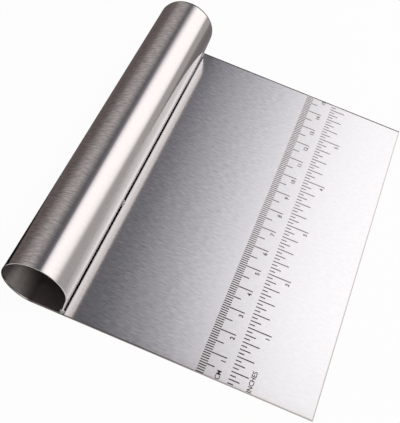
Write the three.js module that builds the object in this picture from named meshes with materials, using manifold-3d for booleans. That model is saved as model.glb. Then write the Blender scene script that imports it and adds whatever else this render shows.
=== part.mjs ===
// A dough scraper bent from one piece of brushed stainless sheet. The front of the sheet is the flat blade,
// and its back is rolled up and over into an open tube, the handle. The roll ends in a straight lip whose
// free edge stops short of the blade, and tack welds tie that edge down across the seam.
// Millimetres, +Z up. +X runs from the handle to the scraping edge, and +Y along the handle, away from the
// front end. The origin is on the surface that the blade lies on, under the middle of the whole tool.

import * as THREE from 'three';
import Module from 'manifold-3d';
import { mergeVertices } from 'three/addons/utils/BufferGeometryUtils.js';

// Sheet: its thickness, its width along the handle, and the blade from the handle's middle to its edge
const SHEET_THICKNESS = 0.6;
const SHEET_WIDTH = 149;
const BLADE_REACH = 106.3;

// Handle: its outside diameter, the lean of the straight lip from upright, and the open seam under the lip
const HANDLE_DIAMETER = 24.6;
const LIP_LEAN_DEGREES = 7.8;
const SEAM_GAP = 2.4;

// Tack welds: their size on the blade, how far the middle one climbs past the lip's edge, how far the end ones
// stop under it, and the room left round the lip
const WELD_LENGTH = 1.9;
const WELD_WIDTH = 2.0;
const MIDDLE_WELD_CLIMB = 0.5;
const END_WELD_DROP = 0.4;
const WELD_CLEARANCE = 0.3;

// Places of the welds: the middle one from the front end, the end ones in from each end and behind the lip
const MIDDLE_WELD_FROM_FRONT = 54.3;
const END_WELD_INSET = 0.2;
const END_WELD_SETBACK = 0.6;

// Facets along the roll, round a weld and up a weld: a curve gets two of them for each division asked for
const ROLL_FACETS = 96;
const WELD_FACETS = 20;
const WELD_RINGS = 6;
const FACETS_PER_DIVISION = 2;

const BRUSHED_STEEL = { color: 0xb7b6b4, roughness: 0.35, metalness: 1.0 };
const WELD_METAL = { color: 0x97928a, roughness: 0.5, metalness: 1.0 };

// The section is worked out with the handle's middle line at x = 0 and the blade's underside at z = 0
const handleRadius = HANDLE_DIAMETER / 2;
const boreRadius = handleRadius - SHEET_THICKNESS;
const lean = THREE.MathUtils.degToRad(LIP_LEAN_DEGREES);
const rollEnd = -lean;
const underside = -Math.PI / 2;

// The lip leaves the roll where the roll already leans inwards, so that it runs on straight from the curve
const lipDown = new THREE.Vector2(-Math.sin(lean), -Math.cos(lean));
const lipOut = new THREE.Vector2(Math.cos(lean), -Math.sin(lean));
const rollMiddle = new THREE.Vector2(0, handleRadius);
const lipTop = rollMiddle.clone().addScaledVector(lipOut, handleRadius);
const lipLength = (lipTop.y - SHEET_THICKNESS - SEAM_GAP) / Math.cos(lean);
const lipOuterCorner = lipTop.clone().addScaledVector(lipDown, lipLength);
const lipInnerCorner = lipOuterCorner.clone().addScaledVector(lipOut, -SHEET_THICKNESS);
const lipEdgeMiddle = lipOuterCorner.clone().add(lipInnerCorner).divideScalar(2);

const wasm = await Module();
wasm.setup();

// A closed solid from a geometry, with its shared corners merged and triangles without area left out
function toSolid(geometry) {
  const bare = geometry.clone();
  bare.deleteAttribute('normal');
  bare.deleteAttribute('uv');
  const merged = mergeVertices(bare);
  const corners = merged.index.array;
  const kept = [];
  for (let i = 0; i < corners.length; i += 3) {
    const [a, b, c] = corners.slice(i, i + 3);
    if (a !== b && b !== c && c !== a) kept.push(a, b, c);
  }
  const vertProperties = new Float32Array(merged.attributes.position.array);
  const triVerts = new Uint32Array(kept);
  return new wasm.Manifold(new wasm.Mesh({ numProp: 3, vertProperties, triVerts }));
}

// The geometry of a solid, ready for a mesh
function toGeometry(solid) {
  const { vertProperties, triVerts } = solid.getMesh();
  const geometry = new THREE.BufferGeometry();
  geometry.setAttribute('position', new THREE.BufferAttribute(vertProperties, 3));
  geometry.setIndex(new THREE.BufferAttribute(triVerts, 1));
  geometry.computeVertexNormals();
  return geometry;
}

function namedMesh(name, geometry, finish) {
  const mesh = new THREE.Mesh(geometry, new THREE.MeshStandardMaterial(finish));
  mesh.name = name;
  return mesh;
}

// The bent sheet seen from its front end: along the underside, round the outside of the roll to the lip's
// edge, and back along the inside of the roll and the top of the blade
function sheetSection() {
  const section = new THREE.Shape();
  section.moveTo(BLADE_REACH, 0);
  section.lineTo(0, 0);
  section.absarc(rollMiddle.x, rollMiddle.y, handleRadius, underside, rollEnd, true);
  section.lineTo(lipOuterCorner.x, lipOuterCorner.y);
  section.lineTo(lipInnerCorner.x, lipInnerCorner.y);
  section.absarc(rollMiddle.x, rollMiddle.y, boreRadius, rollEnd, underside, false);
  section.lineTo(BLADE_REACH, SHEET_THICKNESS);
  section.closePath();
  return section;
}

// The section is drawn in X and Z, and runs along Y from one end of the handle to the other
function rolledSheet() {
  const geometry = new THREE.ExtrudeGeometry(sheetSection(), {
    depth: SHEET_WIDTH,
    steps: 1,
    curveSegments: ROLL_FACETS / FACETS_PER_DIVISION,
    bevelEnabled: false,
  });
  geometry.rotateX(Math.PI / 2);
  geometry.translate(0, SHEET_WIDTH / 2, 0);
  return namedMesh('rolled_sheet', toGeometry(toSolid(geometry)), BRUSHED_STEEL);
}

// The room that the lip takes in a weld: the straight lip with the clearance on its faces and under its edge
function lipRoom() {
  const height = lipLength + WELD_CLEARANCE;
  const geometry = new THREE.BoxGeometry(SHEET_THICKNESS + 2 * WELD_CLEARANCE, SHEET_WIDTH, height);
  geometry.translate(0, 0, height / 2 - WELD_CLEARANCE);
  geometry.rotateY(lean);
  geometry.translate(lipEdgeMiddle.x, 0, lipEdgeMiddle.y);
  return toSolid(geometry);
}

// A weld is a small domed bead that stands flat on the blade, at the lip's free edge
function tackWeld(name, x, y, height) {
  const bead = new THREE.Path();
  bead.moveTo(0, 0);
  bead.lineTo(WELD_WIDTH / 2, 0);
  bead.absellipse(0, 0, WELD_WIDTH / 2, height, 0, Math.PI / 2, false, 0);
  const profile = bead.getPoints(WELD_RINGS / FACETS_PER_DIVISION);
  const geometry = new THREE.LatheGeometry(profile, WELD_FACETS);
  geometry.rotateX(Math.PI / 2);
  geometry.scale(1, WELD_LENGTH / WELD_WIDTH, 1);
  geometry.translate(x, y, SHEET_THICKNESS);
  return namedMesh(name, toGeometry(toSolid(geometry).subtract(lipRoom())), WELD_METAL);
}

const frontEnd = -SHEET_WIDTH / 2;
const backEnd = SHEET_WIDTH / 2;
const endWeldReach = END_WELD_INSET + WELD_LENGTH / 2;
const endWeldX = lipEdgeMiddle.x - END_WELD_SETBACK;
const endWeldHeight = SEAM_GAP - END_WELD_DROP;
const middleWeldHeight = SEAM_GAP + MIDDLE_WELD_CLIMB;

const pieces = new THREE.Group();
pieces.add(rolledSheet());
pieces.add(tackWeld('tack_weld_front', endWeldX, frontEnd + endWeldReach, endWeldHeight));
pieces.add(tackWeld('tack_weld_middle', lipEdgeMiddle.x, frontEnd + MIDDLE_WELD_FROM_FRONT, middleWeldHeight));
pieces.add(tackWeld('tack_weld_back', endWeldX, backEnd - endWeldReach, endWeldHeight));

// The whole tool is centred on the origin, from the back of the handle to the scraping edge
pieces.position.x = (handleRadius - BLADE_REACH) / 2;

const doughScraper = new THREE.Group();
doughScraper.add(pieces);

export default doughScraper;
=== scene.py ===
# A dough scraper bent from one brushed stainless sheet: a flat blade with a scale, and a rolled handle.
# Metres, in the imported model's frame: +X from the handle to the scraping edge, +Y along the handle away from
# its front end, +Z up from the surface that the blade lies on.

import math
from collections import namedtuple

import bmesh
import bpy
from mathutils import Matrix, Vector


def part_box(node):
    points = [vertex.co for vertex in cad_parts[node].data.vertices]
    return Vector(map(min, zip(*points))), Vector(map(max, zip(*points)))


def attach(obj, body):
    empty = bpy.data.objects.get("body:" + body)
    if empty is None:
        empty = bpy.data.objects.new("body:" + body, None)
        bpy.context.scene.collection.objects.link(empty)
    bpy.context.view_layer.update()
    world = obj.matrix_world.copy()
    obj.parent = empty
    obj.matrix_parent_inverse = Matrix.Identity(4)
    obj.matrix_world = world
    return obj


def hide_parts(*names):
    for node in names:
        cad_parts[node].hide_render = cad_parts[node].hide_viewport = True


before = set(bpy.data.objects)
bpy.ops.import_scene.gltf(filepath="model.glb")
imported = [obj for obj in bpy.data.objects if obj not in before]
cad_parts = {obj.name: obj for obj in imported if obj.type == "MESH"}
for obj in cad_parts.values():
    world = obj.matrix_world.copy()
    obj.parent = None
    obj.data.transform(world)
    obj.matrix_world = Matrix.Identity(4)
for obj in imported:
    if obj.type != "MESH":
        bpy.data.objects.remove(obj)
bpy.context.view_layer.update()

# Rolled sheet. One blank of stainless sheet: the front stays flat as the blade, and the back is rolled up
# and over into an open tube for the hand, which ends in a straight lip short of the blade. The shear drew
# the inner face down along its cut. The back end was then dressed to a bevel, and the front rim nearly flat.

MM = 0.001
SHEET_THICKNESS = 0.6 * MM
LIP_LEAN = math.radians(7.8)
SEAM_GAP = 2.4 * MM
ROLL_STEP = math.radians(1.5)
EDGE_EASING = 0.04 * MM
# The strip that the shear drew down, on the inner face
SHEAR_DRAW_WIDTH = 0.45 * MM
SHEAR_DRAW_DEPTH = 0.14 * MM
SHEAR_DRAW_STEPS = 5
SHADING_GUARD = 0.06 * MM
# The bevel at the back end, on both faces
BEVEL_WIDTH = 0.9 * MM
BEVEL_DEPTH = 0.27 * MM
# The front rim: how much of the draw is left where it was dressed, and the turns of the roll where the
# dressing starts and where it is whole
RIM_DRAW_LEFT = 0.2
RIM_DRESSED_FROM = math.radians(35)
RIM_DRESSED_TO = math.radians(65)
# The front rim stands out a little, most of all at one turn of the roll, and comes back in along the handle
RIM_FLARE = 0.25 * MM
RIM_FLARE_MIDDLE = math.radians(80)
RIM_FLARE_SPREAD = math.radians(45)
RIM_FLARE_REACH = 10 * MM
RIM_FLARE_ROWS = 4

sheet_low, sheet_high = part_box("rolled_sheet")
handle_radius = (sheet_high.z - sheet_low.z) / 2
bore_radius = handle_radius - SHEET_THICKNESS
handle_x = sheet_low.x + handle_radius
handle_z = sheet_low.z + handle_radius
blade_top = sheet_low.z + SHEET_THICKNESS
front_y = sheet_low.y
back_y = sheet_high.y
scraping_x = sheet_high.x


def steps_from_cut(width):
    """Distances from a cut at which the strip beside it gets a row of points. One more row, just past the
    strip, keeps its slope out of the shading of the flat face."""
    return [width * i / SHEAR_DRAW_STEPS for i in range(SHEAR_DRAW_STEPS + 1)] + [width + SHADING_GUARD]


draw_steps = steps_from_cut(SHEAR_DRAW_WIDTH)
bevel_steps = steps_from_cut(BEVEL_WIDTH)


def shear_draw(from_cut):
    """How far the inner face is drawn down at a distance from the cut."""
    return SHEAR_DRAW_DEPTH * max(0.0, 1 - from_cut / SHEAR_DRAW_WIDTH) ** 2


def back_bevel(from_cut):
    """How far a face is dressed away at a distance from the back cut."""
    return BEVEL_DEPTH * max(0.0, 1 - from_cut / BEVEL_WIDTH)


def flare_left(y):
    """How much of the front rim's flare is left at a place along the handle."""
    return max(0.0, 1 - (y - front_y) / RIM_FLARE_REACH) ** 2


# A place across the sheet: its points on the outer and the inner face, how far the cut beside it draws the
# inner face down, how much of the front rim's own draw is left there, and how far the front rim flares
Station = namedtuple("Station", "outer inner drawn rim_draw flare")


def sheet_stations():
    """The places across the sheet, from the scraping edge to the lip's free edge."""
    stations = []
    middle = Vector((handle_x, 0, handle_z))
    lip_reach = Vector((math.cos(LIP_LEAN), 0, -math.sin(LIP_LEAN)))
    down = Vector((-math.sin(LIP_LEAN), 0, -math.cos(LIP_LEAN)))
    outer_top = middle + handle_radius * lip_reach
    inner_top = middle + bore_radius * lip_reach
    lip_length = (outer_top.z - blade_top - SEAM_GAP) / math.cos(LIP_LEAN)
    blade_places = [(scraping_x - step, shear_draw(step)) for step in draw_steps]
    blade_places.append(((inner_top + down * lip_length).x, 0.0))
    for x, drawn in blade_places:
        stations.append(Station(Vector((x, 0, sheet_low.z)), Vector((x, 0, blade_top)), drawn, 1.0, 0.0))
    sweep = math.radians(270) + LIP_LEAN
    steps = round(sweep / ROLL_STEP)
    for i in range(steps + 1):
        turned = sweep * i / steps
        reach = Vector((-math.sin(turned), 0, -math.cos(turned)))
        dressed = min(1.0, max(0.0, (turned - RIM_DRESSED_FROM) / (RIM_DRESSED_TO - RIM_DRESSED_FROM)))
        rim_draw = 1 - (1 - RIM_DRAW_LEFT) * dressed
        off_middle = min(1.0, abs(turned - RIM_FLARE_MIDDLE) / RIM_FLARE_SPREAD)
        flare = RIM_FLARE * (1 + math.cos(math.pi * off_middle)) / 2
        outer = middle + handle_radius * reach
        inner = middle + bore_radius * reach
        stations.append(Station(outer, inner, 0.0, rim_draw, flare))
    for step in reversed(draw_steps):
        drop = down * (lip_length - step)
        stations.append(Station(outer_top + drop, inner_top + drop, shear_draw(step), RIM_DRAW_LEFT, 0.0))
    return stations


def brush_length(x, z):
    """How far along the sheet a point lies from where the roll leaves the blade, along the brushing."""
    over = x - handle_x
    if over >= 0 and z < blade_top + SEAM_GAP / 2:
        return over
    turn = math.atan2(z - handle_z, over)
    return -handle_radius * ((-math.pi / 2 - turn) % (2 * math.pi))


def new_object(name, shape):
    """A new object in the scene, from a finished bmesh."""
    mesh = bpy.data.meshes.new(name)
    shape.to_mesh(mesh)
    shape.free()
    made = bpy.data.objects.new(name, mesh)
    bpy.context.scene.collection.objects.link(made)
    return made


# The sheet's three finishes, in the order of its material slots
BRUSHED, CUT, COARSE = range(3)


def rolled_sheet():
    """The bent sheet as a closed shell: two faces and the eased cut all round them."""
    shell = bmesh.new()
    rows = [(front_y + step, shear_draw(step), 0.0) for step in draw_steps]
    rows += [(front_y + RIM_FLARE_REACH * (i + 1) / RIM_FLARE_ROWS, 0.0, 0.0) for i in range(RIM_FLARE_ROWS)]
    rows += [(back_y - step, 0.0, back_bevel(step)) for step in reversed(bevel_steps)]
    outer = []
    inner = []
    for station in sheet_stations():
        inwards = (station.inner - station.outer).normalized()
        outer_points = []
        inner_points = []
        for y, front_draw, bevel in rows:
            flared = station.flare * flare_left(y)
            sunk = max(front_draw * station.rim_draw, station.drawn, bevel)
            outer_points.append(station.outer + Vector((0, y, 0)) + inwards * (bevel - flared))
            inner_points.append(station.inner + Vector((0, y, 0)) + inwards * (-sunk - flared))
        outer.append([shell.verts.new(point) for point in outer_points])
        inner.append([shell.verts.new(point) for point in inner_points])
    last = len(rows) - 1
    for i in range(len(outer) - 1):
        for j in range(last):
            outer_corners = (outer[i][j], outer[i][j + 1], outer[i + 1][j + 1], outer[i + 1][j])
            inner_corners = (inner[i][j], inner[i + 1][j], inner[i + 1][j + 1], inner[i][j + 1])
            outer_face = shell.faces.new(outer_corners)
            inner_face = shell.faces.new(inner_corners)
            bevelled = last - 1 - j < SHEAR_DRAW_STEPS
            drawn_down = min(i, j) < SHEAR_DRAW_STEPS
            in_roll = i > SHEAR_DRAW_STEPS + 1
            outer_face.material_index = CUT if bevelled else BRUSHED
            inner_face.material_index = CUT if bevelled or drawn_down else COARSE if in_roll else BRUSHED
    cut_faces = []
    for i in range(len(outer) - 1):
        cut_faces.append((outer[i][0], outer[i + 1][0], inner[i + 1][0], inner[i][0]))
        cut_faces.append((outer[i][last], inner[i][last], inner[i + 1][last], outer[i + 1][last]))
    for j in range(last):
        cut_faces.append((outer[0][j], inner[0][j], inner[0][j + 1], outer[0][j + 1]))
        cut_faces.append((outer[-1][j], outer[-1][j + 1], inner[-1][j + 1], inner[-1][j]))
    cut_faces = [shell.faces.new(corners) for corners in cut_faces]
    for face in cut_faces:
        face.material_index = CUT
    bmesh.ops.recalc_face_normals(shell, faces=shell.faces)
    rims = [e for e in shell.edges if len(set(e.link_faces) & set(cut_faces)) == 1]
    bmesh.ops.bevel(shell, geom=rims, offset=EDGE_EASING, segments=1, profile=0.5, affect="EDGES",
                    material=CUT)
    brush = shell.loops.layers.uv.new("brush")
    for face in shell.faces:
        face.smooth = True
        for loop in face.loops:
            x, y, z = loop.vert.co
            loop[brush].uv = (y, brush_length(x, z))
    return new_object("rolled_sheet_skin", shell)


def linear(code):
    """A colour from its sRGB hex code to the linear values that a shader takes."""
    levels = [int(code[i:i + 2], 16) / 255 for i in (1, 3, 5)]
    return tuple(c / 12.92 if c <= 0.04045 else ((c + 0.055) / 1.055) ** 2.4 for c in levels) + (1.0,)


def add_node(tree, kind, settings, inputs):
    """Adds a node with its settings. An input is a value, or the output of another node that it links to."""
    made = tree.nodes.new(kind)
    for name, value in settings.items():
        setattr(made, name, value)
    for name, value in inputs.items():
        socket = made.inputs[name]
        if isinstance(value, bpy.types.NodeSocket):
            tree.links.new(value, socket)
        else:
            socket.default_value = value
    return made


def new_material(name):
    """An empty node material, with its tree and its output node."""
    material = bpy.data.materials.new(name)
    material.use_nodes = True
    material.node_tree.nodes.clear()
    output = add_node(material.node_tree, "ShaderNodeOutputMaterial", {}, {})
    return material, material.node_tree, output


def span_of(table):
    """The first and the last place in a table."""
    return table[0][0], table[-1][0]


def set_ramp(ramp, interpolation, span, table):
    """Gives a colour ramp over a span of places in mm its stops. In the table each place has a hex code or a
    level from 0 to 1."""
    start, end = span
    ramp.interpolation = interpolation
    while len(ramp.elements) < len(table):
        ramp.elements.new(1.0)
    for element, (mm, tone) in zip(ramp.elements, table):
        element.position = (mm - start) / (end - start)
        element.color = linear(tone) if isinstance(tone, str) else (tone, tone, tone, 1.0)


# Stainless steel, belt brushed: the belt leaves fine short lines that run from the handle to the scraping
# edge. Across the lines a reflection smears, and along them it stays clear, so the light lies in bands along
# the handle. They are some 0.05 mm apart, too fine for the render, and are drawn coarser. The palm has
# rubbed them smooth on the crown of the handle, and use towards the scraping edge, so they show best on the
# handle's back. The steel is given a warmer tone on the roll and a paler, cooler one on the blade, as painted
# light for how each takes the light. Painted shade darkens the lip, the side of the roll over the blade, a
# line in the corner beside the seam, and the blade's front end.
BRUSH_LINES = ((0.4 * MM, 4 * MM), (0.75 * MM, 2.5 * MM))
BRUSH_LINE_DEPTH = 0.0002 * MM
LINE_CONTRAST = 0.8
NOISE_LOW = 0.3
NOISE_HIGH = 0.7
RUBBED_SMOOTHEST = 0.12
RUBBED_ROUGHEST = 0.17
# One steel in two tones, warmer on the roll and paler and cooler on the blade, as painted light. The two
# darker tones are painted shade.
HANDLE_STEEL = "#e0dad8"
PAINTED_SHADE_STEEL = "#c9c3c2"
CORNER_SHADE_STEEL = "#d8d4d3"
BLADE_STEEL = "#e7e6e7"
# How much of the lines is left, at mm along the sheet: below zero round the roll, above it on the blade
LINES_LEFT = ((-75, 0.2), (-50, 0.12), (-41, 0.12), (-36, 1.0), (-5, 1.0), (10, 0.1), (14, 0.2), (18, 0.55),
              (45, 0.55), (65, 0.18), (106, 0.15))
# The steel's colour at such places, with painted shade on the lip and on the roll's side over the blade, and a
# line of painted shade in the corner beside the seam
STEEL_ALONG = ((-60, PAINTED_SHADE_STEEL), (-58.2, HANDLE_STEEL), (-57.4, HANDLE_STEEL), (-55.2, PAINTED_SHADE_STEEL),
               (-53.4, PAINTED_SHADE_STEEL), (-51, HANDLE_STEEL), (9, HANDLE_STEEL), (11, BLADE_STEEL),
               (12.5, BLADE_STEEL), (13.5, CORNER_SHADE_STEEL), (15, CORNER_SHADE_STEEL), (16.5, BLADE_STEEL))
# What the belt adds to the roughness at such places: it couldn't reach into the corner under the roll
BELT_ROUGHNESS = ((12, 0.0), (14.5, 0.04), (32, 0.19))
# How much of the painted shade along the blade's front end lies at such places: none under the roll, and less
# towards the scraping edge
FRONT_SHADE_SHARE = ((12, 0.0), (16, 1.0), (60, 1.0), (85, 0.55))
# How much of its brightness that painted shade leaves the blade, at mm from the front end
FRONT_SHADE_LEAVES = ((0, 0.74), (2, 0.8), (5, 0.86), (10, 0.885), (16, 0.915), (25, 0.96), (40, 1.0))


def brushed_stainless():
    material, tree, output = new_material("stainless_belt_brushed")
    brush = add_node(tree, "ShaderNodeUVMap", {"uv_map": "brush"}, {})
    sets = []
    for spacing, length in BRUSH_LINES:
        stretched = add_node(tree, "ShaderNodeMapping", {},
                             {"Vector": brush.outputs["UV"], "Scale": (1 / spacing, 1 / length, 1)})
        sets.append(add_node(tree, "ShaderNodeTexNoise", {"noise_dimensions": "2D"},
                             {"Vector": stretched.outputs["Vector"], "Scale": 1.0, "Detail": 2.0}))
    fine, broad = sets
    lines = add_node(tree, "ShaderNodeMath", {"operation": "ADD"},
                     {0: fine.outputs["Fac"], 1: broad.outputs["Fac"]})
    place = add_node(tree, "ShaderNodeSeparateXYZ", {}, {"Vector": brush.outputs["UV"]})
    start, end = span_of(LINES_LEFT)
    along = add_node(tree, "ShaderNodeMapRange", {},
                     {"Value": place.outputs["Y"], "From Min": start * MM, "From Max": end * MM})
    ramps = []
    for interpolation, table in (("EASE", LINES_LEFT), ("LINEAR", STEEL_ALONG), ("LINEAR", BELT_ROUGHNESS),
                                 ("LINEAR", FRONT_SHADE_SHARE)):
        ramp = add_node(tree, "ShaderNodeValToRGB", {}, {"Fac": along.outputs["Result"]})
        set_ramp(ramp.color_ramp, interpolation, (start, end), table)
        ramps.append(ramp.outputs["Color"])
    lines_left, tone, belt, shade_share = ramps
    shade_start, shade_end = span_of(FRONT_SHADE_LEAVES)
    from_front = add_node(tree, "ShaderNodeMapRange", {},
                          {"Value": place.outputs["X"], "From Min": front_y + shade_start * MM,
                           "From Max": front_y + shade_end * MM})
    front_shade = add_node(tree, "ShaderNodeValToRGB", {}, {"Fac": from_front.outputs["Result"]})
    set_ramp(front_shade.color_ramp, "LINEAR", (shade_start, shade_end), FRONT_SHADE_LEAVES)
    # The two noises add up to 1 on average, so this is the lines' contrast about zero
    depth = add_node(tree, "ShaderNodeMath", {"operation": "MULTIPLY_ADD"},
                     {0: lines.outputs["Value"], 1: LINE_CONTRAST, 2: -LINE_CONTRAST})
    shade = add_node(tree, "ShaderNodeMath", {"operation": "MULTIPLY_ADD"},
                     {0: depth.outputs["Value"], 1: lines_left, 2: 1.0})
    # Painted shade along the blade's front end, multiplied into the steel's tone
    painted_tone = add_node(tree, "ShaderNodeMix", {"data_type": "RGBA", "blend_type": "MULTIPLY"},
                    {"Factor": shade_share, "A": tone, "B": front_shade.outputs["Color"]})
    colour = add_node(tree, "ShaderNodeMix", {"data_type": "RGBA", "blend_type": "MULTIPLY"},
                      {"Factor": 1.0, "A": painted_tone.outputs[2], "B": shade.outputs["Value"]})
    rubbed = add_node(tree, "ShaderNodeMapRange", {},
                      {"Value": fine.outputs["Fac"], "From Min": NOISE_LOW, "From Max": NOISE_HIGH,
                       "To Min": RUBBED_SMOOTHEST, "To Max": RUBBED_ROUGHEST})
    sheen = add_node(tree, "ShaderNodeMath", {"operation": "ADD"}, {0: belt, 1: rubbed.outputs["Result"]})
    grooves = add_node(tree, "ShaderNodeBump", {},
                       {"Height": fine.outputs["Fac"], "Strength": 1.0, "Distance": BRUSH_LINE_DEPTH})
    across = add_node(tree, "ShaderNodeTangent", {"direction_type": "UV_MAP", "uv_map": "brush"}, {})
    steel = add_node(tree, "ShaderNodeBsdfPrincipled", {},
                     {"Base Color": colour.outputs[2], "Metallic": 1.0, "Roughness": sheen.outputs["Value"],
                      "Anisotropic": 0.7, "Normal": grooves.outputs["Normal"],
                      "Tangent": across.outputs["Tangent"]})
    tree.links.new(steel.outputs["BSDF"], output.inputs["Surface"])
    return material


# Stainless steel, coarse brushed: inside the roll the sheet keeps the coarser lines that it came with, which
# spread the light from the open ends along the tube. Painted shade darkens it deep inside, less near the
# mouths, and least in one band along the bore. Its floor is smoother than its wall.
COARSE_LINE_SPACING = 0.6 * MM
COARSE_LINE_LENGTH = 8 * MM
COARSE_DARK = "#bfb6b2"
COARSE_LIGHT = "#ebe2de"
COARSE_PAINTED_SHADE = "#7a7370"
LEAST_SHADE_DEPTH = 7 * MM
FULL_SHADE_DEPTH = 17 * MM
WALL_PLACE = -12 * MM
WALL_ROUGHNESS = 0.6
FLOOR_PLACE = -2 * MM
FLOOR_ROUGHNESS = 0.28
# How much of the painted shade is lifted near the mouths, at mm along the sheet from where the roll leaves the
# blade
BORE_UNSHADED_SHARE = ((-45, 0.7), (-24, 0.5), (-20, 0.15), (-15.5, 0.18), (-13, 0.5), (-11.5, 0.9), (-10, 1.0),
              (-7.6, 1.0), (-5.8, 0.45), (-4.3, 0.25), (-2, 0.25), (0, 0.4))


def coarse_stainless():
    material, tree, output = new_material("stainless_coarse_brushed")
    brush = add_node(tree, "ShaderNodeUVMap", {"uv_map": "brush"}, {})
    stretched = add_node(tree, "ShaderNodeMapping", {},
                         {"Vector": brush.outputs["UV"],
                          "Scale": (1 / COARSE_LINE_SPACING, 1 / COARSE_LINE_LENGTH, 1)})
    lines = add_node(tree, "ShaderNodeTexNoise", {"noise_dimensions": "2D"},
                     {"Vector": stretched.outputs["Vector"], "Scale": 1.0, "Detail": 3.0})
    colour = add_node(tree, "ShaderNodeMix", {"data_type": "RGBA"},
                      {"Factor": lines.outputs["Fac"], "A": linear(COARSE_DARK), "B": linear(COARSE_LIGHT)})
    place = add_node(tree, "ShaderNodeSeparateXYZ", {}, {"Vector": brush.outputs["UV"]})
    from_middle = add_node(tree, "ShaderNodeMath", {"operation": "ABSOLUTE"}, {0: place.outputs["X"]})
    mouth = add_node(tree, "ShaderNodeMapRange", {},
                     {"Value": from_middle.outputs["Value"], "From Min": back_y - FULL_SHADE_DEPTH,
                      "From Max": back_y - LEAST_SHADE_DEPTH})
    start, end = span_of(BORE_UNSHADED_SHARE)
    round_bore = add_node(tree, "ShaderNodeMapRange", {},
                          {"Value": place.outputs["Y"], "From Min": start * MM, "From Max": end * MM})
    wear_and_light_share = add_node(tree, "ShaderNodeValToRGB", {}, {"Fac": round_bore.outputs["Result"]})
    set_ramp(wear_and_light_share.color_ramp, "LINEAR", (start, end), BORE_UNSHADED_SHARE)
    # Painted shade: the tone darkens deep inside the bore and is lifted near the mouths, most of all in one
    # band
    unshaded_share = add_node(tree, "ShaderNodeMath", {"operation": "MULTIPLY"},
                     {0: mouth.outputs["Result"], 1: wear_and_light_share.outputs["Color"]})
    wear_and_shade_colour = add_node(tree, "ShaderNodeMix", {"data_type": "RGBA"},
                    {"Factor": unshaded_share.outputs["Value"], "A": linear(COARSE_PAINTED_SHADE), "B": colour.outputs[2]})
    dull = add_node(tree, "ShaderNodeMapRange", {},
                    {"Value": place.outputs["Y"], "From Min": WALL_PLACE, "From Max": FLOOR_PLACE,
                     "To Min": WALL_ROUGHNESS, "To Max": FLOOR_ROUGHNESS})
    across = add_node(tree, "ShaderNodeTangent", {"direction_type": "UV_MAP", "uv_map": "brush"}, {})
    steel = add_node(tree, "ShaderNodeBsdfPrincipled", {},
                     {"Base Color": wear_and_shade_colour.outputs[2], "Metallic": 1.0, "Roughness": dull.outputs["Result"],
                      "Anisotropic": 0.85, "Tangent": across.outputs["Tangent"]})
    tree.links.new(steel.outputs["BSDF"], output.inputs["Surface"])
    return material


# Stainless steel, sheared and tumbled: the cut, with the strip beside it that is drawn down or dressed away,
# is torn and rubbed rather than brushed, so it is duller and browner than the faces.
SHEAR_MARK = 0.3 * MM
SHEAR_MARK_DEPTH = 0.02 * MM
CUT_DARK = "#b8b0ac"
CUT_LIGHT = "#cec6c2"


def sheared_edge():
    material, tree, output = new_material("stainless_sheared_edge")
    place = add_node(tree, "ShaderNodeTexCoord", {}, {})
    torn = add_node(tree, "ShaderNodeTexNoise", {},
                    {"Vector": place.outputs["Object"], "Scale": 1 / SHEAR_MARK, "Detail": 3.0})
    colour = add_node(tree, "ShaderNodeMix", {"data_type": "RGBA"},
                      {"Factor": torn.outputs["Fac"], "A": linear(CUT_DARK), "B": linear(CUT_LIGHT)})
    bite = add_node(tree, "ShaderNodeBump", {},
                    {"Height": torn.outputs["Fac"], "Strength": 0.2, "Distance": SHEAR_MARK_DEPTH})
    steel = add_node(tree, "ShaderNodeBsdfPrincipled", {},
                     {"Base Color": colour.outputs[2], "Metallic": 1.0, "Roughness": 0.15,
                      "Normal": bite.outputs["Normal"]})
    tree.links.new(steel.outputs["BSDF"], output.inputs["Surface"])
    return material


sheet = rolled_sheet()
for finish in (brushed_stainless(), sheared_edge(), coarse_stainless()):
    sheet.data.materials.append(finish)
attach(sheet, "root")
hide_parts("rolled_sheet")

# Tack welds. Three small beads of the sheet's own metal, run by torch across the open seam: one about a
# third of the way along, and one inside each end. They tie the lip's free edge down to the blade.

WELD_NODES = ("tack_weld_front", "tack_weld_middle", "tack_weld_back")
WELD_RINGS = 14
WELD_SIDES = 40
# The bead draws in above its foot by this share of its width, within this share of its height
WELD_DRAWN_IN = 0.3
WELD_FOOT = 0.12
WELD_RIPPLES = 3
WELD_RIPPLE_DEPTH = 0.015


def weld_bead(node):
    """A domed bead with a flared foot and the ripples that the pool left as it cooled."""
    low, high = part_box(node)
    middle = (low + high) / 2
    half_width = (high.x - low.x) / 2
    half_length = (high.y - low.y) / 2
    height = high.z - low.z
    bead = bmesh.new()
    rings = []
    for i in range(WELD_RINGS):
        rise = i / WELD_RINGS
        ripple = 1 + WELD_RIPPLE_DEPTH * math.sin(2 * math.pi * WELD_RIPPLES * rise)
        drawn_in = WELD_DRAWN_IN * (1 - math.exp(-rise / WELD_FOOT)) * (1 - rise)
        girth = math.sqrt(1 - rise ** 2) * ripple * (1 - drawn_in)
        ring = []
        for j in range(WELD_SIDES):
            turn = 2 * math.pi * j / WELD_SIDES
            ring.append(bead.verts.new((middle.x + half_width * girth * math.cos(turn),
                                        middle.y + half_length * girth * math.sin(turn),
                                        blade_top + height * rise)))
        rings.append(ring)
    crown = bead.verts.new((middle.x, middle.y, blade_top + height))
    foot = bead.verts.new((middle.x, middle.y, blade_top))
    for j in range(WELD_SIDES):
        k = (j + 1) % WELD_SIDES
        for below, above in zip(rings, rings[1:]):
            bead.faces.new((below[j], below[k], above[k], above[j]))
        bead.faces.new((rings[-1][j], rings[-1][k], crown))
        bead.faces.new((rings[0][k], rings[0][j], foot))
    for face in bead.faces:
        face.smooth = True
    return new_object(node + "_bead", bead)


# Weld metal, as welded: the pool froze in fine ripples and kept a faint straw tint from the heat.
WELD_GRAIN = 0.4 * MM
WELD_GRAIN_DEPTH = 0.03 * MM
WELD_GREY = "#b9b8b5"
WELD_STRAW = "#c0bbae"


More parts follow.
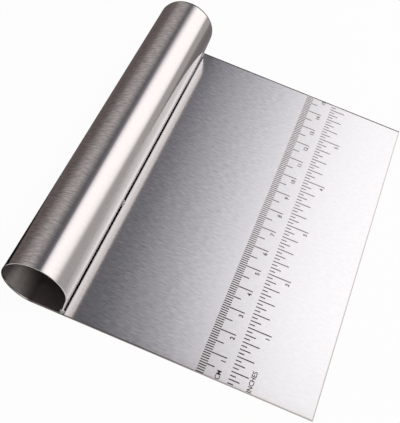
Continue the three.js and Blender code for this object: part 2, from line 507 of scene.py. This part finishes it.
def weld_metal():
    material, tree, output = new_material("stainless_weld_bead")
    place = add_node(tree, "ShaderNodeTexCoord", {}, {})
    frozen = add_node(tree, "ShaderNodeTexNoise", {},
                      {"Vector": place.outputs["Object"], "Scale": 1 / WELD_GRAIN, "Detail": 3.0})
    colour = add_node(tree, "ShaderNodeMix", {"data_type": "RGBA"},
                      {"Factor": frozen.outputs["Fac"], "A": linear(WELD_GREY), "B": linear(WELD_STRAW)})
    skin = add_node(tree, "ShaderNodeBump", {},
                    {"Height": frozen.outputs["Fac"], "Strength": 0.5, "Distance": WELD_GRAIN_DEPTH})
    bead = add_node(tree, "ShaderNodeBsdfPrincipled", {},
                    {"Base Color": colour.outputs[2], "Metallic": 1.0, "Roughness": 0.36,
                     "Normal": skin.outputs["Normal"]})
    tree.links.new(bead.outputs["BSDF"], output.inputs["Surface"])
    return material


weld_finish = weld_metal()
for weld_node in WELD_NODES:
    bead = weld_bead(weld_node)
    bead.data.materials.append(weld_finish)
    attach(bead, "root")
    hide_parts(weld_node)

# Centimetre and inch scales. Two rows of fine marks across the blade's whole width, burnt into the steel by
# a laser. The marks of a row start on one line, on its side towards the handle, and the rounder the measure,
# the longer the mark.

MARK_WIDTH = 0.45 * MM
MARK_PROUD = 0.012 * MM
MARK_ROOT = 0.02 * MM
MARK_ROOM = 0.15 * MM
CM = 10 * MM
CM_START = 14.95 * MM
CM_ZERO = -75.03 * MM
CM_MARK = 8.85 * MM
HALF_CM_MARK = 5.7 * MM
MM_MARK = 2.95 * MM
INCH = 25.4 * MM
INCH_START = 26.8 * MM
INCH_ZERO = -75.34 * MM
INCH_MARK = 9.35 * MM
QUARTER_INCH_MARK = 6.6 * MM
EIGHTH_INCH_MARK = 4.15 * MM
SIXTEENTH_INCH_MARK = 2.25 * MM


def centimetre_length(count):
    """The length of the mark at that many millimetres."""
    if count % 10 == 0:
        return CM_MARK
    return HALF_CM_MARK if count % 5 == 0 else MM_MARK


def inch_length(count):
    """The length of the mark at that many sixteenths of an inch."""
    if count % 16 == 0:
        return INCH_MARK
    if count % 4 == 0:
        return QUARTER_INCH_MARK
    return EIGHTH_INCH_MARK if count % 2 == 0 else SIXTEENTH_INCH_MARK


def scale_marks(name, start, zero, pitch, length_of):
    """One row of marks, each a thin bar let into the blade, as far as the blade reaches."""
    row = bmesh.new()
    count = math.ceil((front_y + MARK_ROOM + MARK_WIDTH / 2 - zero) / pitch)
    while zero + count * pitch < back_y - MARK_ROOM - MARK_WIDTH / 2:
        y = zero + count * pitch
        low = Vector((start, y - MARK_WIDTH / 2, blade_top - MARK_ROOT))
        high = Vector((start + length_of(count), y + MARK_WIDTH / 2, blade_top + MARK_PROUD))
        bar = bmesh.ops.create_cube(row, size=1.0)["verts"]
        bmesh.ops.scale(row, vec=high - low, verts=bar)
        bmesh.ops.translate(row, vec=(low + high) / 2, verts=bar)
        count += 1
    return new_object(name, row)


# Laser mark on stainless steel: a skin of dark oxide, matt beside the bright metal and mottled by the
# pulses. Wiping has worn it paler towards the far corner of the blade, where X and Y together are largest.
PULSE_SIZE = 0.25 * MM
PULSE_DEPTH = 0.005 * MM
OXIDE_DARK = "#3a221b"
OXIDE_LIGHT = "#50362d"
OXIDE_WORN = "#93857f"
WEAR_STARTS = -18 * MM
WEAR_WHOLE = 22 * MM


def laser_oxide():
    material, tree, output = new_material("laser_oxide_mark")
    place = add_node(tree, "ShaderNodeTexCoord", {}, {})
    pulses = add_node(tree, "ShaderNodeTexNoise", {},
                      {"Vector": place.outputs["Object"], "Scale": 1 / PULSE_SIZE, "Detail": 2.0})
    colour = add_node(tree, "ShaderNodeMix", {"data_type": "RGBA"},
                      {"Factor": pulses.outputs["Fac"], "A": linear(OXIDE_DARK), "B": linear(OXIDE_LIGHT)})
    parts = add_node(tree, "ShaderNodeSeparateXYZ", {}, {"Vector": place.outputs["Object"]})
    far = add_node(tree, "ShaderNodeMath", {"operation": "ADD"},
                   {0: parts.outputs["X"], 1: parts.outputs["Y"]})
    wear_and_light_share = add_node(tree, "ShaderNodeMapRange", {},
                     {"Value": far.outputs["Value"], "From Min": WEAR_STARTS, "From Max": WEAR_WHOLE})
    wear_and_shade_colour = add_node(tree, "ShaderNodeMix", {"data_type": "RGBA"},
                    {"Factor": wear_and_light_share.outputs["Result"], "A": colour.outputs[2], "B": linear(OXIDE_WORN)})
    pits = add_node(tree, "ShaderNodeBump", {},
                    {"Height": pulses.outputs["Fac"], "Strength": 0.4, "Distance": PULSE_DEPTH})
    oxide = add_node(tree, "ShaderNodeBsdfPrincipled", {},
                     {"Base Color": wear_and_shade_colour.outputs[2], "Metallic": 0.0, "Roughness": 0.55,
                      "Normal": pits.outputs["Normal"]})
    tree.links.new(oxide.outputs["BSDF"], output.inputs["Surface"])
    return material


mark_finish = laser_oxide()
centimetre_marks = scale_marks("centimetre_marks", CM_START, CM_ZERO, CM / 10, centimetre_length)
inch_marks = scale_marks("inch_marks", INCH_START, INCH_ZERO, INCH / 16, inch_length)
for marks in (centimetre_marks, inch_marks):
    marks.data.materials.append(mark_finish)
    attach(marks, "root")

# Numbers and units of the scales. Plain figures beside the long marks and the name of each unit at the front
# edge, burnt in with the marks. They are read along the blade, with their tops towards the handle.

CM_FIGURES = 15
CM_FIGURE_HEIGHT = 1.65 * MM
CM_FIGURE_FOOT = 23.7 * MM
INCH_FIGURES = 5
INCH_FIGURE_HEIGHT = 1.5 * MM
INCH_FIGURE_FOOT = 35.8 * MM
FIGURE_ROOM = 1.05 * MM
FIGURE_WEIGHT = 0.085 * MM
UNIT_HEIGHT = 1.8 * MM
UNIT_ROOM = 0.25 * MM
UNIT_WEIGHT = 0.04 * MM
CAP_SHARE = 0.7
LETTER_CURVE_STEPS = 3
LETTER_MERGE = 0.001 * MM


def lettering(name, words):
    """Flat letters let into the blade. A word is its text, the line its feet stand on, where it starts or
    ends along the blade, its capital height, which end that place is, and what makes its strokes bolder."""
    letters = bmesh.new()
    for text, foot, end, height, align, weight in words:
        font = bpy.data.curves.new(name, "FONT")
        font.body = text
        font.size = height / CAP_SHARE
        font.align_x = align
        font.resolution_u = LETTER_CURVE_STEPS
        font.offset = weight
        font.extrude = (MARK_PROUD + MARK_ROOT) / 2
        word = bpy.data.objects.new(name, font)
        bpy.context.scene.collection.objects.link(word)
        word.rotation_euler.z = math.pi / 2
        word.location = (foot, end, blade_top + (MARK_PROUD - MARK_ROOT) / 2)
        bpy.context.view_layer.update()
        flat = bpy.data.meshes.new_from_object(word.evaluated_get(bpy.context.evaluated_depsgraph_get()))
        flat.transform(word.matrix_world)
        letters.from_mesh(flat)
        bpy.data.objects.remove(word)
        bpy.data.meshes.remove(flat)
    bmesh.ops.remove_doubles(letters, verts=letters.verts, dist=LETTER_MERGE)
    return new_object(name, letters)


cm_words = []
for n in range(1, CM_FIGURES + 1):
    end = CM_ZERO + n * CM - FIGURE_ROOM
    cm_words.append((str(n), CM_FIGURE_FOOT, end, CM_FIGURE_HEIGHT, "RIGHT", FIGURE_WEIGHT))
inch_words = []
for n in range(1, INCH_FIGURES + 1):
    end = INCH_ZERO + n * INCH - FIGURE_ROOM
    inch_words.append((str(n), INCH_FIGURE_FOOT, end, INCH_FIGURE_HEIGHT, "RIGHT", FIGURE_WEIGHT))
unit_words = [("CM", CM_FIGURE_FOOT, front_y + UNIT_ROOM, UNIT_HEIGHT, "LEFT", UNIT_WEIGHT),
              ("INCHES", INCH_FIGURE_FOOT, front_y + UNIT_ROOM, UNIT_HEIGHT, "LEFT", UNIT_WEIGHT)]
for name, words in (("centimetre_figures", cm_words), ("inch_figures", inch_words),
                    ("unit_names", unit_words)):
    figures = lettering(name, words)
    figures.data.materials.append(mark_finish)
    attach(figures, "root")

# Studio. White paper lies under the scraper, and a light tent's cloth roof hangs above it, drawn down to a
# rod over the handle. It is lit from the right: bright on that side, dark at the rod, and dim on the left.
# Behind it the room is dark.

FLOOR_REACH = 4.0
FLOOR_DROP = 0.05 * MM
ROOF_HEIGHT = 400 * MM
ROOF_REACH = 1.85
ROOF_BACK = 1.18
ROOF_STRIPS = 60
ROOF_MIDDLE = (-47 * MM, 206 * MM)
ROD_PLACE = -3 * MM
ROD_DROP = 250 * MM
ROD_SPREAD = 45 * MM


def studio_sheet(name, corners, faces):
    """A sheet of the studio's paper, cloth or card, from its corners in metres."""
    mesh = bpy.data.meshes.new(name)
    mesh.from_pydata(corners, [], faces)
    made = bpy.data.objects.new(name, mesh)
    bpy.context.scene.collection.objects.link(made)
    return made


def flat_sheet(name, corners):
    """A flat sheet, from its corners in X and Y in the order that goes round it."""
    return studio_sheet(name, [(x, y, 0) for x, y in corners], [range(len(corners))])


def rectangle(low_x, low_y, high_x, high_y):
    """The corners of a rectangle, in the order that goes round it."""
    return [(low_x, low_y), (high_x, low_y), (high_x, high_y), (low_x, high_y)]


def hung_roof():
    """The cloth, in strips along Y that are narrow by the rod, where it is steep."""
    half = math.asinh(ROOF_REACH / ROD_SPREAD)
    corners = []
    for i in range(ROOF_STRIPS + 1):
        off = ROD_SPREAD * math.sinh(half * (2 * i / ROOF_STRIPS - 1))
        z = ROOF_HEIGHT - ROD_DROP * math.exp(-abs(off) / ROD_SPREAD)
        corners += [(ROD_PLACE + off, -ROOF_REACH, z), (ROD_PLACE + off, ROOF_BACK, z)]
    strips = [(2 * i, 2 * i + 2, 2 * i + 3, 2 * i + 1) for i in range(ROOF_STRIPS)]
    return studio_sheet("tent_roof", corners, strips)


# Seamless paper: white and even to the eye and in the metal, with a soft shadow close to what stands on it.
PAPER = "#fbfafa"
PAPER_WHITE = 0.96
SHADOW_REACH = 8 * MM
SHADOW_CLEARS = 0.5


def seamless_paper():
    material, tree, output = new_material("seamless_paper")
    path = add_node(tree, "ShaderNodeLightPath", {}, {})
    mirrored = add_node(tree, "ShaderNodeMath", {"operation": "ADD", "use_clamp": True},
                        {0: path.outputs["Is Glossy Ray"], 1: path.outputs["Is Transmission Ray"]})
    seen = add_node(tree, "ShaderNodeMath", {"operation": "ADD", "use_clamp": True},
                    {0: path.outputs["Is Camera Ray"], 1: mirrored.outputs["Value"]})
    share = add_node(tree, "ShaderNodeMath", {"operation": "MULTIPLY"},
                     {0: seen.outputs["Value"], 1: PAPER_WHITE})
    paper = add_node(tree, "ShaderNodeBsdfDiffuse", {}, {"Color": linear(PAPER)})
    open_air = add_node(tree, "ShaderNodeAmbientOcclusion", {"samples": 16}, {"Distance": SHADOW_REACH})
    shadow = add_node(tree, "ShaderNodeMapRange", {},
                      {"Value": open_air.outputs["AO"], "From Max": SHADOW_CLEARS})
    white = add_node(tree, "ShaderNodeEmission", {}, {"Strength": shadow.outputs["Result"]})
    mixed = add_node(tree, "ShaderNodeMixShader", {},
                     {"Fac": share.outputs["Value"], 1: paper.outputs["BSDF"], 2: white.outputs["Emission"]})
    tree.links.new(mixed.outputs["Shader"], output.inputs["Surface"])
    return material


# Tent cloth: thin white cloth that glows where light falls on it from outside. The left edge of its lit part
# leans and bows a little, and on the right the light fades along a slant.
ROOF_STRENGTH = 1.44
LIT_EDGE_LEAN = 0.063
LIT_EDGE_BOW = 0.56
LIT_EDGE_REACH = 0.25
FADE_SLANT = 0.58
# Tones across the roof, at places in mm from over the handle's middle line
LEFT_TONES = ((-1800, "#686565"), (-800, "#7e7b7b"), (-340, "#949292"), (-200, "#8b8989"), (-80, "#66666a"),
              (-35, "#5b5b5f"), (0, "#7e7d83"), (30, "#c1c0c5"), (90, "#f2f1f3"), (200, "#ffffff"))
RIGHT_TONES = ((250, "#f9f8f8"), (500, "#e7e6e6"), (700, "#c0bfbf"), (900, "#a4a3a3"), (1200, "#999898"))


def tent_cloth():
    material, tree, output = new_material("tent_cloth")
    place = add_node(tree, "ShaderNodeTexCoord", {}, {})
    parts = add_node(tree, "ShaderNodeSeparateXYZ", {}, {"Vector": place.outputs["Object"]})
    near = add_node(tree, "ShaderNodeClamp", {},
                    {"Value": parts.outputs["Y"], "Min": -LIT_EDGE_REACH, "Max": LIT_EDGE_REACH})
    bow = add_node(tree, "ShaderNodeMath", {"operation": "MULTIPLY_ADD"},
                   {0: near.outputs["Result"], 1: -LIT_EDGE_BOW, 2: LIT_EDGE_LEAN})
    from_edge = add_node(tree, "ShaderNodeMath", {"operation": "MULTIPLY_ADD"},
                         {0: near.outputs["Result"], 1: bow.outputs["Value"], 2: parts.outputs["X"]})
    from_fade = add_node(tree, "ShaderNodeMath", {"operation": "MULTIPLY_ADD"},
                         {0: parts.outputs["Y"], 1: -FADE_SLANT, 2: parts.outputs["X"]})
    span = (-ROOF_REACH / MM, ROOF_REACH / MM)
    tones = []
    for across, table in ((from_edge, LEFT_TONES), (from_fade, RIGHT_TONES)):
        share = add_node(tree, "ShaderNodeMapRange", {},
                         {"Value": across.outputs["Value"], "From Min": -ROOF_REACH, "From Max": ROOF_REACH})
        ramp = add_node(tree, "ShaderNodeValToRGB", {}, {"Fac": share.outputs["Result"]})
        set_ramp(ramp.color_ramp, "CARDINAL", span, table)
        tones.append(ramp.outputs["Color"])
    cloth = add_node(tree, "ShaderNodeMix", {"data_type": "RGBA", "blend_type": "MULTIPLY"},
                     {"Factor": 1.0, "A": tones[0], "B": tones[1]})
    glow = add_node(tree, "ShaderNodeEmission", {}, {"Color": cloth.outputs[2], "Strength": ROOF_STRENGTH})
    tree.links.new(glow.outputs["Emission"], output.inputs["Surface"])
    return material


floor = flat_sheet("floor", rectangle(-FLOOR_REACH, -FLOOR_REACH, FLOOR_REACH, FLOOR_REACH))
floor.location.z = -FLOOR_DROP
floor.data.materials.append(seamless_paper())
roof = hung_roof()
roof.location.xy = ROOF_MIDDLE
roof.visible_camera = False
roof.data.materials.append(tent_cloth())

# Glowing sheets lie on the paper round the scraper, kept out of the camera's sight and seen only in the metal.
# Their even tones are painted light and shade of the paper: pale on the lit right, darker behind the blade,
# before the front rim and in the handle's shade on the left, black as painted shadow along the handle and
# before its front rim, and grey in thin strips of painted shadow along the front edge. Bright metal on white
# paper loses its outline: the cards draw the darker rim that holds it, and strips its thin lines.
CARD_LEFT = "#68605f"
CARD_BACK = "#858182"
CARD_RIGHT = "#b1afaf"
PAINTED_SHADOW = "#151312"
CARD_GAP = 0.3 * MM
CARD_HEIGHT = -0.02 * MM
STRIP_HEIGHT = -0.01 * MM
STRIP_FRONT_WIDTH = 52 * MM
STRIP_FRONT_REACH = 9 * MM
STRIP_FRONT_END = 1 * MM
STRIP_MIDDLE_WIDTH = 9 * MM
STRIP_MIDDLE_Y = -20 * MM
STRIP_BACK_WIDTH = 3 * MM
STRIP_ROLL_END = 12 * MM
EDGE_STRIP_WIDTH = 1.2 * MM
RIM_CARD_WIDTH = 16 * MM
RIM_CARD_END = 11 * MM
RIM_CARD_REACH = 14 * MM


def studio_card(name, corners, height, tone):
    """A sheet that glows in an even tone of painted light or shade, which is only there for the metal to
    mirror.
    """
    card = flat_sheet(name, corners)
    card.location.z = height
    card.visible_camera = False
    card.visible_diffuse = False
    card.visible_shadow = False
    material, tree, output = new_material(name)
    glow_tone = add_node(tree, "ShaderNodeEmission", {}, {"Color": linear(tone), "Strength": 1.0})
    tree.links.new(glow_tone.outputs["Emission"], output.inputs["Surface"])
    card.data.materials.append(material)


left_corners = rectangle(-FLOOR_REACH, front_y, handle_x, FLOOR_REACH)
back_corners = rectangle(handle_x, back_y, scraping_x, FLOOR_REACH)
right_corners = rectangle(scraping_x + CARD_GAP, -FLOOR_REACH, FLOOR_REACH, FLOOR_REACH)
strip_front = front_y - STRIP_FRONT_REACH
strip_end = handle_x - STRIP_FRONT_END
strip_turn = handle_x + STRIP_ROLL_END
edge_front = front_y - EDGE_STRIP_WIDTH
strip_corners = [(sheet_low.x - STRIP_FRONT_WIDTH, strip_front),
                 (strip_end, strip_front),
                 (strip_end, front_y),
                 (handle_x, front_y),
                 (handle_x, back_y),
                 (sheet_low.x - STRIP_BACK_WIDTH, back_y),
                 (sheet_low.x - STRIP_MIDDLE_WIDTH, STRIP_MIDDLE_Y)]
roll_corners = rectangle(strip_end, edge_front, strip_turn, front_y)
front_corners = rectangle(strip_turn, edge_front, scraping_x, front_y)
rim_corners = rectangle(sheet_low.x - RIM_CARD_WIDTH, front_y - RIM_CARD_REACH, handle_x - RIM_CARD_END,
                        strip_front)
studio_card("grey_card_left", left_corners, CARD_HEIGHT, CARD_LEFT)
studio_card("grey_card_back", back_corners, CARD_HEIGHT, CARD_BACK)
studio_card("grey_card_right", right_corners, CARD_HEIGHT, CARD_RIGHT)
studio_card("painted_shadow_handle", strip_corners, STRIP_HEIGHT, PAINTED_SHADOW)
studio_card("grey_strip_roll", roll_corners, STRIP_HEIGHT, CARD_BACK)
studio_card("grey_strip_front", front_corners, STRIP_HEIGHT, CARD_RIGHT)
studio_card("grey_card_rim", rim_corners, STRIP_HEIGHT, CARD_LEFT)

# The room round the tent, by the direction looked in: from its left wall to its right one, and its dark back
ROOM_LEFT = "#716b6a"
ROOM_RIGHT = "#b1afaf"
ROOM_BACK = "#241f1c"
ROOM_SIDE = 0.5
ROOM_BACK_STARTS = 0.8
ROOM_BACK_WHOLE = 0.95

world = bpy.data.worlds.new("studio_room")
bpy.context.scene.world = world
world.use_nodes = True
room = world.node_tree
view = add_node(room, "ShaderNodeTexCoord", {}, {})
sides = add_node(room, "ShaderNodeSeparateXYZ", {}, {"Vector": view.outputs["Generated"]})
rightwards = add_node(room, "ShaderNodeMapRange", {},
                      {"Value": sides.outputs["X"], "From Min": -ROOM_SIDE, "From Max": ROOM_SIDE})
walls = add_node(room, "ShaderNodeMix", {"data_type": "RGBA"},
                 {"Factor": rightwards.outputs["Result"], "A": linear(ROOM_LEFT), "B": linear(ROOM_RIGHT)})
backwards = add_node(room, "ShaderNodeMapRange", {},
                     {"Value": sides.outputs["Y"], "From Min": ROOM_BACK_STARTS,
                      "From Max": ROOM_BACK_WHOLE})
whole = add_node(room, "ShaderNodeMix", {"data_type": "RGBA"},
                 {"Factor": backwards.outputs["Result"], "A": walls.outputs[2], "B": linear(ROOM_BACK)})
room.links.new(whole.outputs[2], room.nodes["Background"].inputs["Color"])

# Camera. It stands over the front end of the handle and looks down along it, as the photograph was taken.

CAMERA_PLACE = (11.88 * MM, -197.2 * MM, 256.22 * MM)
CAMERA_TURN = (32.70, -10.12, 20.51)
CAMERA_LENS = 68.04
CAMERA_SHIFT = (0.0129, 0.0771)
CAMERA_CLIP_START = 10 * MM
SENSOR = 36.0

lens = bpy.data.cameras.new("camera")
lens.sensor_fit = "VERTICAL"
lens.sensor_height = SENSOR
lens.lens = CAMERA_LENS
lens.shift_x, lens.shift_y = CAMERA_SHIFT
lens.clip_start = CAMERA_CLIP_START
camera = bpy.data.objects.new("camera", lens)
camera.location = CAMERA_PLACE
camera.rotation_euler = [math.radians(turn) for turn in CAMERA_TURN]
bpy.context.scene.collection.objects.link(camera)
bpy.context.scene.camera = camera
bpy.context.scene.view_settings.view_transform = "Standard"
